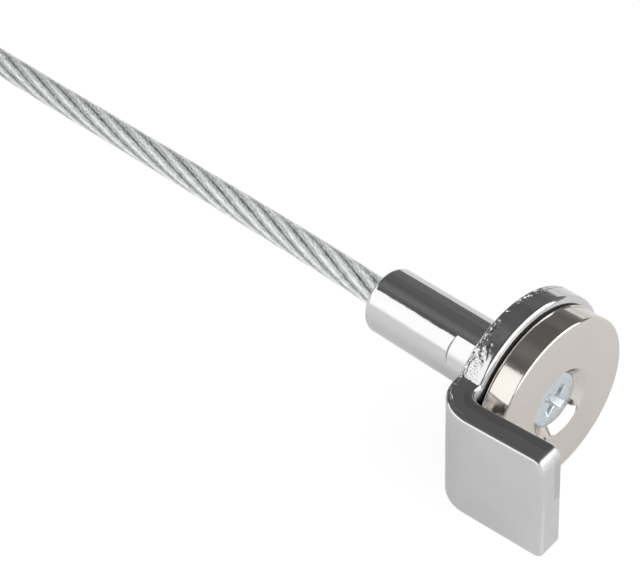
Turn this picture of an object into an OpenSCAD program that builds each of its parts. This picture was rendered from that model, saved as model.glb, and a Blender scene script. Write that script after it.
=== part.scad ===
// Laptop cable lock: the anchor end with its magnet and hook, and its cable.
// The head is drawn along X with the centre of the magnet's face at [0, 0, 0].
// place() then sets it down, with the origin under the middle of the head.

/* [Ring magnet] */
// Diameter of the magnet
magnet_d = 20; // [18:0.5:24]
// Thickness of the magnet
magnet_t = 3; // [3:0.25:5]
// Bevel round both edges of the magnet
magnet_bevel = 0.2; // [0.1:0.05:0.4]
// Hole through the magnet, washer and bracket
screw_hole_d = 4.3; // [4.2:0.05:4.5]
// Width of the countersink at the magnet's face
countersink_d = 8.4; // [8:0.1:9]

/* [Washer] */
// Thickness of the rubber washer behind the magnet
washer_t = 0.3; // [0.3:0.1:1]
// Space between the washer and the inside of the bend
washer_inset = 0.4; // [0.2:0.1:1]

/* [Hook bracket] */
// Thickness of the plate
plate_t = 3; // [2.5:0.25:4]
// Width of the flange that shows round the magnet
flange_rim = 0.75; // [0.5:0.05:1.5]
// Rounding of the flange's front and back edges
flange_edge = 0.35; // [0.2:0.05:0.5]
// Space between the magnet and the tab
tab_gap = 0.6; // [0.5:0.05:1.2]
// Width of the tab, top to bottom
tab_w = 13.2; // [12.8:0.1:15]
// How far the tab's middle lies below the axis
tab_drop = 0.4; // [0:0.1:0.4]
// Length of the tab's flat, from the end of the bend
tab_len = 9.6; // [7:0.1:16]
// Angle by which the bend goes past square
tab_lean = 4.5; // [0:0.5:5]
// Inside radius of the bend
bend_r = 1.6; // [1.4:0.05:1.7]
// Radius of the tab's top corner
tab_top_r = 0.9; // [0.5:0.1:2]
// Radius of the tab's bottom corner
tab_low_r = 1; // [0.5:0.1:3]

/* [Swivel barrel] */
// Diameter of the barrel
barrel_d = 8; // [7.8:0.1:10]
// Length of the barrel
barrel_len = 18.8; // [18.3:0.1:24]
// Rounding of the edge at the cable end
barrel_round = 0.8; // [0.4:0.1:0.9]
// Bevel at the bracket end
barrel_bevel = 0.25; // [0.1:0.05:0.4]
// Thickness of the rolled lip at the cable end
lip_t = 0.8; // [0.6:0.1:1]
// Space between the cable and the lip
mouth_gap = 0.45; // [0.2:0.05:0.6]
// Distance across the two wrench flats
flat_across = 7.2; // [6.2:0.1:7.4]
// Length of the wrench flats
flat_len = 6.5; // [4:0.5:6.5]
// Angle of the flats above the tab's side
flat_turn = 32; // [0:1:90]

/* [Swivel] */
// Length of the bush inside the lip
bush_len = 2.2; // [1.5:0.1:3]
// Space between the cable and the bush
bush_gap = 0.1; // [0.08:0.01:0.3]
// Thickness of the slip washer
slip_t = 0.4; // [0.3:0.1:0.6]
// Length of the sleeve crimped on the rope
stop_len = 6; // [5:0.25:6.5]
// Wall of the sleeve round the rope
stop_wall = 1.2; // [0.9:0.05:1.3]
// Space round the sleeve and the slip washer
stop_gap = 0.3; // [0.1:0.05:0.4]
// Length of rope that stands out of the sleeve
rope_proud = 0.4; // [0.2:0.1:0.6]
// Free space past the end of the rope
end_gap = 0.3; // [0.2:0.1:0.8]

/* [Magnet screw] */
// Diameter of the screw's shank
screw_d = 4; // [3.9:0.05:4]
// Length of the screw, head included
screw_len = 12; // [11:0.5:13]
// Diameter of the screw's head
head_d = 6.6; // [6.4:0.1:7.5]
// Thickness of the straight rim of the head
head_rim = 0.1; // [0.05:0.05:0.2]
// Space between the head's cone and the countersink
seat_gap = 0.02; // [0.01:0.01:0.05]
// Bevel at the screw's tip
screw_bevel = 0.4; // [0.2:0.1:0.6]
// Space round the screw in its thread
thread_gap = 0.03; // [0.02:0.01:0.05]
// Length of one slot of the cross recess
cross_len = 3.8; // [3:0.1:4.6]
// Width of one slot of the cross recess
cross_w = 0.9; // [0.6:0.05:1.1]
// Depth of the cross recess
cross_depth = 1.1; // [0.8:0.1:1.8]

/* [Cable] */
// Diameter of the cable over its clear cover
cable_d = 3.5; // [3.4:0.05:3.6]
// Diameter of the bare wire rope
rope_d = 3; // [2.6:0.05:3.2]
// Radius of the coil at the middle of its turns
coil_mid_r = 21; // [20:0.5:24]
// Turns of the coil in each layer
layer_turns = 3; // [2:1:3]
// Space between turns side by side
turn_gap = 0.5; // [0.45:0.05:1]
// Space between layers
layer_gap = 0.45; // [0.42:0.01:0.6]

/* [Eye ferrule] */
// Length of the ferrule
ferrule_len = 10; // [8:0.5:12]
// Wall of the ferrule round the cable
ferrule_wall = 1.1; // [0.8:0.1:1.3]
// Space between the cable and the ferrule's bores
ferrule_gap = 0.05; // [0.02:0.01:0.1]

/* [Hidden] */
$fn = 96;

CHROME = [0.80, 0.81, 0.82];
NICKEL = [0.76, 0.73, 0.70];
ZINC = [0.82, 0.86, 0.89];
BRASS = [0.78, 0.63, 0.32];
NYLON = [0.93, 0.92, 0.88];
RUBBER = [0.08, 0.08, 0.08];
STEEL_ROPE = [0.72, 0.73, 0.74];
ALUMINIUM = [0.78, 0.79, 0.80];

// Places along the axis, back from the magnet's face.
magnet_r = magnet_d / 2;
washer_x = -magnet_t;
plate_x = washer_x - washer_t;
bracket_back_x = plate_x - plate_t;
mouth_x = bracket_back_x - barrel_len;
bush_x = mouth_x + lip_t;
slip_x = bush_x + bush_len;
stop_x = slip_x + slip_t;
rope_tip_x = stop_x + stop_len + rope_proud;
cavity_end_x = rope_tip_x + end_gap;

// Radii of the pieces that share the axis.
cable_r = cable_d / 2;
rope_r = rope_d / 2;
barrel_r = barrel_d / 2;
mouth_r = cable_r + mouth_gap;
bush_bore_r = cable_r + bush_gap;
stop_r = rope_r + stop_wall;
cavity_r = stop_r + stop_gap;
thread_r = screw_d / 2 + thread_gap;
flange_r = magnet_r + flange_rim;

// The bend: its centre, and the end of the flat tab in plan.
tab_in = magnet_r + tab_gap;
bend_out = bend_r + plate_t;
bend_x = plate_x + bend_r;
bend_y = -(tab_in - bend_r);
washer_r = tab_in - bend_r - washer_inset;
tip_x = bend_x + bend_out * sin(tab_lean) + tab_len * cos(tab_lean);

// The screw's head sits where its cone meets the countersink.
head_depth = (countersink_d - head_d) / 2 - head_rim - seat_gap;
head_cone = (head_d - screw_d) / 2;

// The origin lies on the surface below the middle of the head.
mid_x = (mouth_x + tip_x) / 2;
mid_y = (flange_r - tab_in - plate_t) / 2;
CUT = 0.01;
BEND_STEPS = 16;
CORNER_OVERSHOOT = 0.03;
REST_GAP = 0.3;

module place() {
    translate([-mid_x, -mid_y, flange_r]) children();
}

// Turns a profile of [radius, x] points about the head's axis.
module turned(profile) {
    rotate([0, 90, 0]) rotate_extrude() polygon(profile);
}

// A cylinder along X from one place to another.
module rod(from_x, to_x, r) {
    translate([from_x, 0, 0]) rotate([0, 90, 0]) cylinder(r = r, h = to_x - from_x);
}

// Points of a quarter round between two directions, for a turned profile.
function round_corner(centre, r, from, to, steps = 8) =
    [for (i = [0:steps]) let (a = from + (to - from) * i / steps)
        centre + r * [cos(a), sin(a)]];

// ---- The swivelling head ----

module swivel_barrel() {
    back = mouth_x + barrel_round;
    color(CHROME) place() difference() {
        turned(concat(
            [[0, mouth_x]],
            round_corner([barrel_r - barrel_round, back], barrel_round, -90, 0),
            [[barrel_r, bracket_back_x - barrel_bevel],
             [barrel_r - barrel_bevel, bracket_back_x],
             [0, bracket_back_x]]));
        rod(mouth_x - CUT, bush_x + CUT, mouth_r);
        rod(bush_x, cavity_end_x, cavity_r);
        rod(cavity_end_x - CUT, bracket_back_x + CUT, thread_r);
        for (side = [0, 180])
            rotate([side - flat_turn, 0, 0])
                translate([bracket_back_x - flat_len, -barrel_d, -barrel_d])
                    cube([flat_len + 1, barrel_d - flat_across / 2, 2 * barrel_d]);
    }
}

module retaining_bush() {
    color(BRASS) place() difference() {
        rod(bush_x, slip_x, cavity_r);
        rod(bush_x - CUT, slip_x + CUT, bush_bore_r);
    }
}

module slip_washer() {
    color(NYLON) place() difference() {
        rod(slip_x, stop_x, stop_r);
        rod(slip_x - CUT, stop_x + CUT, bush_bore_r);
    }
}

// The round flange, cut straight where the bend starts.
module flange() {
    edge = flange_r - flange_edge;
    difference() {
        turned(concat(
            [[0, bracket_back_x]],
            round_corner([edge, bracket_back_x + flange_edge], flange_edge, -90, 0, 4),
            round_corner([edge, plate_x - flange_edge], flange_edge, 0, 90, 4),
            [[0, plate_x]]));
        translate([bracket_back_x - 1, bend_y - flange_r, -flange_r])
            cube([plate_t + 2, flange_r, 2 * flange_r]);
    }
}

// The bent strip seen from above: from the axis round the bend to the tab's tip.
module strip_plan() {
    bend = [bend_x, bend_y];
    along = [cos(tab_lean), sin(tab_lean)];
    outer = round_corner(bend, bend_out, 180, 270 + tab_lean, BEND_STEPS);
    inner = round_corner(bend, bend_r, 270 + tab_lean, 180, BEND_STEPS);
    polygon(concat([[bracket_back_x, 0]], outer,
        [outer[BEND_STEPS] + tab_len * along, inner[0] + tab_len * along],
        inner, [[plate_x, 0]]));
}

// What a rounded corner takes off the tab's tip. The round overshoots both faces
// a little, so that it cuts them at a clear angle.
module corner_waste(r) {
    mid = r - CORNER_OVERSHOOT;
    translate([0, 0, -bend_out - 1]) linear_extrude(bend_out + 1) difference() {
        translate([-mid, -1]) square([mid + 1, mid + 1]);
        translate([-mid, mid]) circle(r = r);
    }
}

module hook_bracket() {
    color(CHROME) place() difference() {
        union() {
            flange();
            translate([0, 0, -tab_drop - tab_w / 2]) linear_extrude(tab_w) strip_plan();
        }
        translate([bend_x, bend_y, -tab_drop]) rotate([0, 0, tab_lean]) rotate([-90, 0, 0])
            for (end = [[tab_low_r, 0], [tab_top_r, 1]])
                mirror([0, end.y, 0]) mirror([0, 1, 0])
                    translate([tab_len, -tab_w / 2, 0]) corner_waste(end.x);
        rod(bracket_back_x - CUT, plate_x + CUT, screw_hole_d / 2);
    }
}

module rubber_washer() {
    color(RUBBER) place() difference() {
        rod(plate_x, washer_x, washer_r);
        rod(plate_x - CUT, washer_x + CUT, screw_hole_d / 2);
    }
}

module ring_magnet() {
    hole = screw_hole_d / 2;
    wide = countersink_d / 2;
    color(NICKEL) place() turned([
        [hole, -magnet_t], [magnet_r - magnet_bevel, -magnet_t],
        [magnet_r, -magnet_t + magnet_bevel], [magnet_r, -magnet_bevel],
        [magnet_r - magnet_bevel, 0], [wide, 0], [hole, hole - wide]]);
}

module magnet_screw() {
    top = -head_depth;
    color(ZINC) place() difference() {
        turned([
            [0, top - screw_len], [screw_d / 2 - screw_bevel, top - screw_len],
            [screw_d / 2, top - screw_len + screw_bevel],
            [screw_d / 2, top - head_rim - head_cone],
            [head_d / 2, top - head_rim], [head_d / 2 - head_rim, top], [0, top]]);
        for (turn = [45, 135])
            rotate([turn, 0, 0])
                translate([top - cross_depth, -cross_len / 2, -cross_w / 2])
                    cube([cross_depth + 1, cross_len, cross_w]);
    }
}

// ---- What is fixed to the cable inside the barrel ----

module stop_sleeve() {
    color(ALUMINIUM) place() difference() {
        rod(stop_x, stop_x + stop_len, stop_r);
        rod(stop_x - CUT, stop_x + stop_len + CUT, rope_r);
    }
}

module rope_end() {
    color(STEEL_ROPE) place() rod(stop_x, rope_tip_x, rope_r);
}

// ---- The cable ----

// A closed tube swept along points: rings of flat sides, every face a triangle.
function unit(v) = v / norm(v);
function heading(p, i) = unit(p[min(i + 1, len(p) - 1)] - p[max(i - 1, 0)]);
function tube_ring(at, along, r, sides, from) =
    let (across = unit(cross([0, 0, 1], along)), up = cross(along, across))
    [for (k = [0:sides - 1]) let (a = from + 360 * k / sides)
        at + r * (cos(a) * across + sin(a) * up)];

module tube(points, r, sides, from) {
    rings = len(points);
    skin = [for (i = [0:rings - 1])
        each tube_ring(points[i], heading(points, i), r, sides, from)];
    walls = [for (i = [0:rings - 2], k = [0:sides - 1])
        let (a = i * sides + k, b = i * sides + (k + 1) % sides)
        each [[a, b, a + sides], [b, b + sides, a + sides]]];
    first_cap = [for (k = [1:sides - 2]) [0, k + 1, k]];
    last = (rings - 1) * sides;
    last_cap = [for (k = [1:sides - 2]) [last, last + k, last + k + 1]];
    polyhedron(skin, concat(walls, first_cap, last_cap));
}

// Route of the free stretch behind the barrel's mouth: back from the mouth,
// sideways, and height as a share of the drop from the axis to the surface.
RUN = [[-1, 0, 1], [-8, 0, 1.02], [-16, 0, 1.03], [-25, 0, 1.03], [-34, 0, 1.03],
       [-44, 0, 1.02], [-54, 0, 1.01], [-63, 0, 1], [-72, 0, 1], [-80, 0, 1],
       [-86, 0, 0.97], [-92, 0, 0.87], [-98, 0, 0.69], [-104, 0, 0.46],
       [-110, 0, 0.24], [-116, 0, 0.08], [-122, 0, 0], [-128, 0, 0]];
COIL_LEAD = -128;
lying_z = cable_r - flange_r;
run_points = concat([[stop_x, 0, 0]],
    [for (p = RUN) [mouth_x + p.x, p.y, (1 - p.z) * lying_z]]);

module cable_run() {
    color(STEEL_ROPE) place() tube(run_points, cable_r, 8, 22.5);
}

// The coil spirals in and out again, and climbs in the half turn of each reversal.
LAYERS = 4;
LOOP_RINGS = 24;
turn_pitch = cable_d + turn_gap;
layer_pitch = cable_d + layer_gap;
coil_out_r = coil_mid_r + turn_pitch * layer_turns / 2;
coil_x = mouth_x + COIL_LEAD - cable_d;
coil_turns = LAYERS * layer_turns;
function spiral_r(u) =
    let (phase = u / layer_turns, layer = floor(phase), share = phase - layer)
    coil_out_r - turn_pitch * layer_turns * (layer % 2 == 0 ? share : 1 - share);
function climb(t) = t <= 0 ? 0 : t >= 1 ? 1 : t;
function spiral_z(u) = lying_z + layer_pitch
    * ([for (k = [1:LAYERS - 1]) climb((u - k * layer_turns) * 2 + 0.5)]
       * [for (k = [1:LAYERS - 1]) 1]);
function coil_point(u) = let (a = 90 + 360 * u)
    [coil_x + spiral_r(u) * cos(a), spiral_r(u) * sin(a) - coil_out_r, spiral_z(u)];
top_z = spiral_z(coil_turns);
wound = [for (i = [0:coil_turns * LOOP_RINGS]) coil_point(i / LOOP_RINGS)];
coil_points = concat([[coil_x + cable_d, 0, lying_z]], wound, [[coil_x - cable_d, 0, top_z]]);
coil_gap = min([for (i = [0:len(wound) - 1], j = [i + LOOP_RINGS / 2:1:len(wound) - 1])
    norm(wound[i] - wound[j])]) - cable_d;
echo(coil_least_gap = coil_gap);

module cable_coil() {
    color(STEEL_ROPE) place() tube(coil_points, cable_r, 6, 30);
}

// Route over the coil: from the coil's end, with height as a share of the rise
// from the top layer to the ferrule.
OVER = [[0, 0, 0], [-1.5, 0, 0], [-5.3, -0.7, 0.12], [-9.2, -2.7, 0.35],
        [-12.3, -5.8, 0.62], [-14.3, -9.7, 0.82], [-15, -14, 0.94], [-14.3, -18.3, 0.99]];
// The ferrule's middle, from the coil's end, and the way the eye points.
FERRULE_AT = [-6.7, -26.4];
EYE_TURN = -atan(4 / 3);
// Half of the eye: from the ferrule's middle, sideways, and height as a share of
// the ferrule's lift above the cable that lies on the top layer.
HALF_EYE = [[9, 2.3, 0.9], [11.7, 3.2, 0.65], [14.5, 4.9, 0.35], [18, 7.4, 0.1],
            [21.6, 9.8, 0], [25.6, 11.6, 0], [30, 11.9, 0], [34.1, 10.6, 0],
            [37.6, 7.9, 0], [39.8, 4.1, 0]];
EYE_TIP = [40.5, 0, 0];
LEG_END = 6.5;
LEG_SPACE = 0.4;
leg_y = cable_r + LEG_SPACE / 2;
ferrule_r = cable_r + ferrule_gap + ferrule_wall;
ferrule_lift = ferrule_r + cable_r + REST_GAP - layer_pitch;
coil_end = [coil_x - cable_d, 0, top_z];
ferrule_z = top_z + layer_pitch + ferrule_lift;
function turn_plan(p, a) = [p.x * cos(a) - p.y * sin(a), p.x * sin(a) + p.y * cos(a)];
function eye_place(x, y, share) =
    let (q = turn_plan([x, y], EYE_TURN) + FERRULE_AT)
    [coil_end.x + q.x, q.y, ferrule_z - (1 - share) * ferrule_lift];
tail_end = ferrule_len / 2 - 1;
half = len(HALF_EYE);
eye_points = concat(
    [for (p = OVER) coil_end + [p.x, p.y, p.z * (ferrule_z - top_z)]],
    [for (x = [-LEG_END, 0, LEG_END]) eye_place(x, -leg_y, 1)],
    [for (p = HALF_EYE) eye_place(p.x, -p.y, p.z)],
    [eye_place(EYE_TIP.x, EYE_TIP.y, EYE_TIP.z)],
    [for (i = [1:half]) let (p = HALF_EYE[half - i]) eye_place(p.x, p.y, p.z)],
    [for (x = [LEG_END, 0, -tail_end]) eye_place(x, leg_y, 1)]);

module cable_eye() {
    color(STEEL_ROPE) place() tube(eye_points, cable_r, 8, 22.5);
}

module eye_ferrule() {
    bore_r = cable_r + ferrule_gap;
    color(ALUMINIUM) place()
        translate([coil_end.x + FERRULE_AT.x, FERRULE_AT.y, ferrule_z])
            rotate([0, 0, EYE_TURN]) rotate([0, 90, 0]) difference() {
                union() {
                    for (side = [-1, 1]) translate([0, side * leg_y, 0])
                        cylinder(r = ferrule_r, h = ferrule_len, center = true);
                    cube([2 * ferrule_r, 2 * leg_y, ferrule_len], center = true);
                }
                for (side = [-1, 1]) translate([0, side * leg_y, 0])
                    cylinder(r = bore_r, h = ferrule_len + 1, center = true);
            }
}

swivel_barrel();
retaining_bush();
slip_washer();
stop_sleeve();
rope_end();
hook_bracket();
rubber_washer();
ring_magnet();
magnet_screw();
cable_run();
cable_coil();
cable_eye();
eye_ferrule();
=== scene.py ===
"""A laptop cable lock's anchor end: a swivelling barrel, a hook bracket and a ring magnet
on a wire rope with a clear cover, wound up and ended in a crimped eye."""

import math

import bmesh
import bpy
from bpy.props import FloatProperty, FloatVectorProperty, IntProperty, PointerProperty
from mathutils import Matrix, Vector, noise


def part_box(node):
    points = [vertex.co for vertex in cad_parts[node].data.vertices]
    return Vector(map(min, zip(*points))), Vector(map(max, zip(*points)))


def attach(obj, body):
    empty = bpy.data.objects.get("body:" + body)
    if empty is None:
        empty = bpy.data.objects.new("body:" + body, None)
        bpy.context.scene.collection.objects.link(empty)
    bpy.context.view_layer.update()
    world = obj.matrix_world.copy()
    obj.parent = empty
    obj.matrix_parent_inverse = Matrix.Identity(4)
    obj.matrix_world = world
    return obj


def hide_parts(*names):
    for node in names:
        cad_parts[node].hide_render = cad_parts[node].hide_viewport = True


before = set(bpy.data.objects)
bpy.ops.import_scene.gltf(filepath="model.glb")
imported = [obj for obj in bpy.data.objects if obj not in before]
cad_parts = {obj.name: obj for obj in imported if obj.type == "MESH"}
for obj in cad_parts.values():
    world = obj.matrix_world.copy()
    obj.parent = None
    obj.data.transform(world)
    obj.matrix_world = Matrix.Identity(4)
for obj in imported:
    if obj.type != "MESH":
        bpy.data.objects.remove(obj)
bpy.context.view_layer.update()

bl_info = {
    "name": "Laptop cable lock",
    "version": (1, 0, 0),
    "blender": (4, 5, 0),
    "location": "View3D > Sidebar > Cable lock",
    "description": "Builds the magnetic head, its hook bracket and the covered cable",
    "category": "Add Mesh",
}

MM = 0.001
FULL_TURN = 2 * math.pi

# The head's frame: millimetres from the middle of the magnet's face, with the
# barrel's axis along X. Pieces are drawn in it and then set down in metres.
MAGNET_LOW, MAGNET_HIGH = [Vector(corner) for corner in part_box("ring_magnet")]
HEAD = Vector((MAGNET_HIGH.x, (MAGNET_LOW.y + MAGNET_HIGH.y) / 2, (MAGNET_LOW.z + MAGNET_HIGH.z) / 2))
SET_DOWN = Matrix.Translation(HEAD) @ Matrix.Scale(MM, 4)


def size_along(node, axis):
    """A node's size along X, Y or Z (0, 1 or 2), in millimetres."""
    low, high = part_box(node)
    return (high[axis] - low[axis]) / MM


def head_x(node, end):
    """A node's lowest (0) or highest (1) place along the head's axis, in millimetres."""
    return (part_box(node)[end][0] - HEAD.x) / MM


# Places along the axis and radii that the CAD pieces set.
MAGNET_R = size_along("ring_magnet", 1) / 2
MAGNET_BACK = head_x("ring_magnet", 0)
PLATE_FRONT = head_x("rubber_washer", 0)
WASHER_R = size_along("rubber_washer", 1) / 2
BARREL_R = size_along("swivel_barrel", 1) / 2
BARREL_MOUTH = head_x("swivel_barrel", 0)
BARREL_FRONT = head_x("swivel_barrel", 1)
BUSH_X = head_x("retaining_bush", 0)
STOP_X = head_x("stop_sleeve", 0)
CAVITY_R = size_along("retaining_bush", 1) / 2
ROPE_TIP = head_x("rope_end", 1)
SCREW_TOP = head_x("magnet_screw", 1)
SCREW_TIP = head_x("magnet_screw", 0)
HEAD_R = size_along("magnet_screw", 1) / 2

# Sizes of the head that stay as they are, in millimetres.
END_GAP = 0.3
MOUTH_GAP = 0.45
THREAD_GAP = 0.03
SCREW_R = 2
SCREW_HOLE_R = 2.15
HEAD_RIM = 0.1
MOUTH_ROUND = 0.8
SOFT_CUT = 0.12
FLAT_LEN = 6.5
FLAT_ANGLE = math.radians(148)
FLAT_CROWN_R = 8
MAGNET_BEVEL = 0.2
REAR_ROUND = 0.12
BEAD = 0.11
BEAD_UP = 0.05
FLANGE_RIM = 0.75
TAB_GAP = 0.6
TAB_DROP = 0.4
TAB_LEN = 9.6
TAB_TOP_R = 1.3
TAB_LOW_R = 1
BEND_R = 1.6


# ---- Settings ----

def length(name, description, millimetres, low, high):
    """A size that the user can change, stored in metres."""
    return FloatProperty(name=name, description=description, default=millimetres * MM,
                         min=low * MM, max=high * MM, unit="LENGTH", precision=5)


def colour(name, description, *rgb):
    """A colour that the user can change."""
    return FloatVectorProperty(name=name, description=description, default=(*rgb, 1), size=4,
                               min=0, max=1, subtype="COLOR")


def radiance_of(name, description, default):
    """How bright a part of the studio is."""
    return FloatProperty(name=name, description=f"Radiance {description}", default=default, min=0)


class CableLockSizes(bpy.types.PropertyGroup):
    """Sizes of the pieces that show."""
    flat_across: length("Across the flats", "Distance across the barrel's wrench flats", 7.2, 6, 7.5)
    plate_t: length("Plate", "Thickness of the bracket's plate", 3, 2, 4)
    tab_w: length("Tab width", "Width of the hook's tab", 13.2, 10, 15)
    tab_lean: FloatProperty(name="Tab lean", description="Angle by which the tab bends past square",
                            default=math.radians(4.5), subtype="ANGLE")
    rim_marks: length("Rim marks", "Depth of the shear marks on the flange's rim", 0.05, 0, 0.1)
    countersink_d: length("Countersink", "Width of the magnet's countersink at its face", 8.4, 8, 9)
    thread_pitch: length("Thread pitch", "Pitch of the screw's thread", 0.7, 0.5, 1)
    cover_d: length("Cable", "Diameter of the cable over its clear cover", 3.5, 3.2, 4)
    rope_d: length("Rope", "Diameter of the wire rope inside the cover", 3.1, 2.6, 3.3)
    rope_lay: length("Lay", "Length in which a strand goes once round the rope", 38, 20, 60)
    end_lay: length("Lay at the barrel", "Tighter lay that the crimping leaves by the barrel", 27, 20, 60)
    strands: IntProperty(name="Strands", description="Number of strands in the rope", default=6, min=5, max=8)


class CableLockFinishes(bpy.types.PropertyGroup):
    """Colours of the metals, plastics and rubber."""
    chrome: colour("Chrome", "Plate of the barrel", 0.645, 0.64, 0.65)
    bracket: colour("Bracket", "Plate of the bracket", 0.59, 0.585, 0.59)
    nickel: colour("Nickel", "Plate of the magnet", 0.648, 0.61, 0.572)
    zinc: colour("Zinc", "Plate of the screw", 0.65, 0.70, 0.73)
    wire: colour("Wire", "Galvanised wire of the rope", 0.9, 0.91, 0.92)
    # The grooves' colour is partly grime and partly painted shade.
    groove_grime_and_shade: colour("Grooves", "Grooves between the rope's strands", 0.38, 0.39, 0.40)
    cover: colour("Cover", "Clear plastic over the rope", 0.96, 0.975, 0.97)
    rubber: colour("Rubber", "Washer behind the magnet", 0.05, 0.048, 0.045)
    chipped: colour("Chipped plate", "Magnet's core where the nickel has chipped", 0.07, 0.055, 0.05)
    brass: colour("Brass", "Bush in the barrel", 0.78, 0.60, 0.28)
    nylon: colour("Nylon", "Slip washer in the barrel", 0.80, 0.79, 0.74)
    aluminium: colour("Aluminium", "Ferrule and stop sleeve", 0.72, 0.73, 0.74)


class CableLockStudio(bpy.types.PropertyGroup):
    """Light of the studio."""
    side_light: radiance_of("Side light", "of the long side card", 1.5)
    front_light: radiance_of("Front light", "of the front softbox", 1.9)
    dark_level: radiance_of("Dark ceiling", "that metal shows of the ceiling", 0.15)


def sizes():
    """The sizes that the user set."""
    return bpy.context.scene.cable_lock_sizes


def finishes():
    """The colours that the user set."""
    return bpy.context.scene.cable_lock_finishes


# ---- Meshes ----

def smooth_step(value, low, high):
    """0 below low, 1 above high, and smooth between them."""
    t = min(max((value - low) / (high - low), 0), 1)
    return t * t * (3 - 2 * t)


def soften(points, cut, steps=3):
    """A closed outline with each corner rounded, cut millimetres back along both sides."""
    soft = []
    count = len(points)
    for i, corner in enumerate(points):
        corner = Vector(corner)
        before = Vector(points[i - 1]) - corner
        after = Vector(points[(i + 1) % count]) - corner
        start = corner + before.normalized() * min(cut, before.length * 0.4)
        end = corner + after.normalized() * min(cut, after.length * 0.4)
        for k in range(steps + 1):
            t = k / steps
            soft.append(start * (1 - t) ** 2 + corner * 2 * t * (1 - t) + end * t ** 2)
    return soft


def arc(centre, radius, start, end, steps):
    """Points of an arc between two angles in degrees."""
    points = []
    for k in range(steps + 1):
        angle = math.radians(start + (end - start) * k / steps)
        points.append(Vector(centre) + radius * Vector((math.cos(angle), math.sin(angle))))
    return points


def join_rings(bm, rings, closed=False):
    """Skins neighbouring rings of vertices with quads."""
    pairs = list(zip(rings, rings[1:]))
    if closed:
        pairs.append((rings[-1], rings[0]))
    for ring, following in pairs:
        for k in range(len(ring)):
            n = (k + 1) % len(ring)
            bm.faces.new((ring[k], ring[n], following[n], following[k]))


def turned(profile, sides, reshape=None):
    """A closed (x, radius) outline turned about the head's axis."""
    bm = bmesh.new()
    rings = []
    for x, r in profile:
        ring = []
        for k in range(sides):
            angle = FULL_TURN * k / sides
            radius = reshape(x, r, angle) if reshape else r
            ring.append(bm.verts.new((x, radius * math.cos(angle), radius * math.sin(angle))))
        rings.append(ring)
    join_rings(bm, rings, closed=True)
    return bm


def cap(bm, rings):
    """Fills the flat area inside the first ring and outside the others."""
    edges = []
    for ring in rings:
        for k in range(len(ring)):
            pair = (ring[k], ring[(k + 1) % len(ring)])
            edges.append(bm.edges.get(pair) or bm.edges.new(pair))
    bmesh.ops.triangle_fill(bm, edges=edges, use_beauty=True)


def circle(sides):
    """Cosine and sine of evenly spaced angles once round."""
    return [(math.cos(FULL_TURN * k / sides), math.sin(FULL_TURN * k / sides)) for k in range(sides)]


def mesh_from(name, bm):
    """A mesh made from a bmesh, which is then freed."""
    mesh = bpy.data.meshes.new(name)
    bm.to_mesh(mesh)
    bm.free()
    return mesh


def add_object(name, data):
    """A new object in the scene."""
    added = bpy.data.objects.new(name, data)
    bpy.context.scene.collection.objects.link(added)
    return added


def make_piece(name, bm, body, material, replaced=(), sharp=35):
    """Sets a mesh down in its place, gives it its material and body, and hides the CAD nodes that it stands
    for.
    """
    bmesh.ops.recalc_face_normals(bm, faces=bm.faces)
    mesh = mesh_from(name, bm)
    mesh.transform(SET_DOWN)
    mesh.shade_smooth()
    mesh.set_sharp_from_angle(angle=math.radians(sharp))
    mesh.materials.append(material)
    piece = add_object(name, mesh)
    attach(piece, body)
    if replaced:
        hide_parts(*replaced)
    return piece


def even_out_normals(piece):
    """Keeps large faces flat beside small rounded edges."""
    modifier = piece.modifiers.new("Normals", "WEIGHTED_NORMAL")
    modifier.keep_sharp = True
    modifier.weight = 80


# ---- Materials ----

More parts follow.
